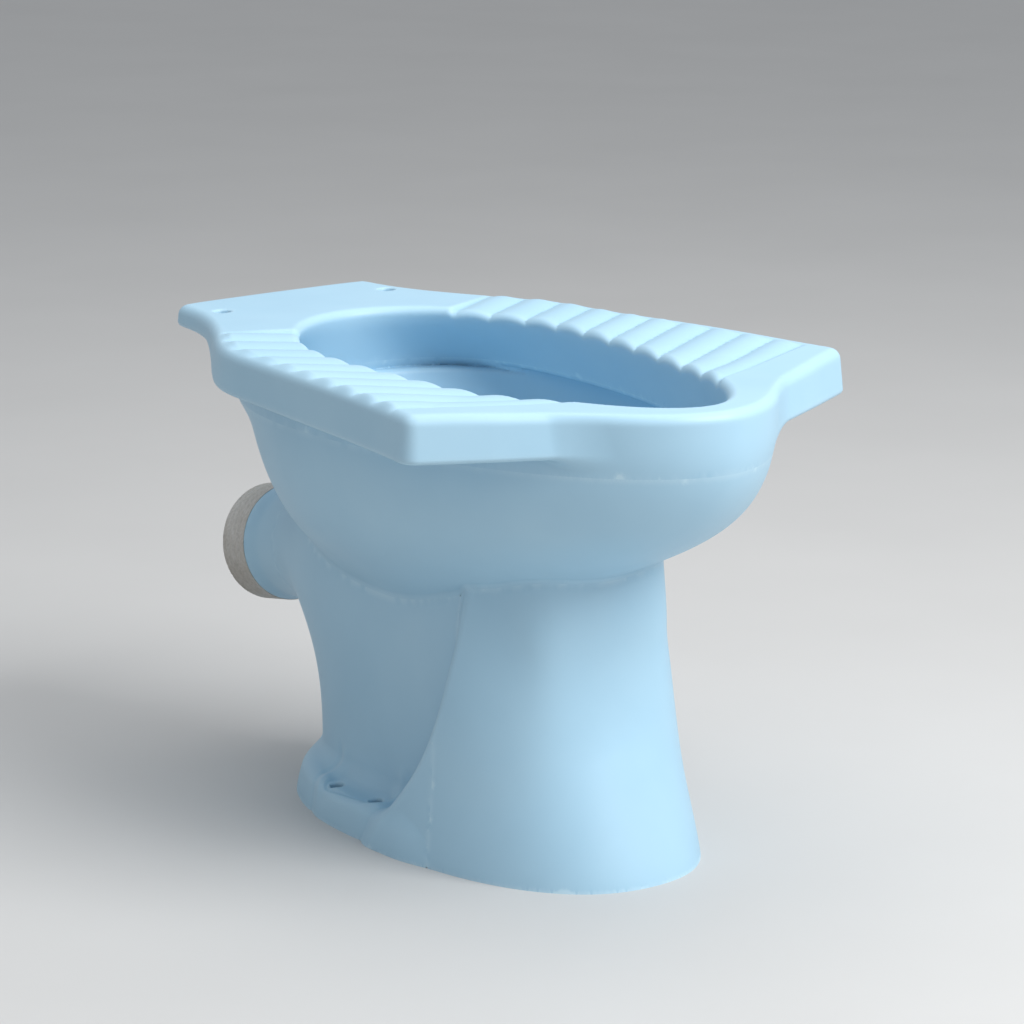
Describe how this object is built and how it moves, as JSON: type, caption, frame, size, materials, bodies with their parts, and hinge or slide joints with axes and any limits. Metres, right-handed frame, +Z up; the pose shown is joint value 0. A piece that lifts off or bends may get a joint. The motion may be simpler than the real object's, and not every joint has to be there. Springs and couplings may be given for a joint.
{
  "type": "floor-standing toilet pan",
  "caption": "Glazed ceramic pedestal pan with a wide ribbed foot-tread platform, egg-shaped bowl, floor fixing ledges and a rear P-trap outlet spigot.",
  "frame": {"origin": "centre of the footprint of the whole pan, at floor level", "axes": "+Z up, -Y towards the nose of the bowl, +Y towards the outlet and the wall, X = 0 the plane of symmetry"},
  "size_m": [0.42, 0.6327, 0.396],
  "materials": {
    "glaze": "glossy pale blue glaze",
    "bare_body": "unglazed, matt"
  },
  "bodies": {
    "root": {"rim_deck": "glaze", "rim_channel_floor": "glaze", "bowl": "glaze", "trapway": "glaze", "outlet_spigot": "glaze", "spigot_end": "bare_body", "front_pedestal": "glaze", "trap_body": "glaze", "foot_ring": "glaze", "fixing_ledge_left": "glaze", "fixing_ledge_right": "glaze", "flush_box": "glaze", "flush_inlet": "glaze"}
  },
  "joints": []
}
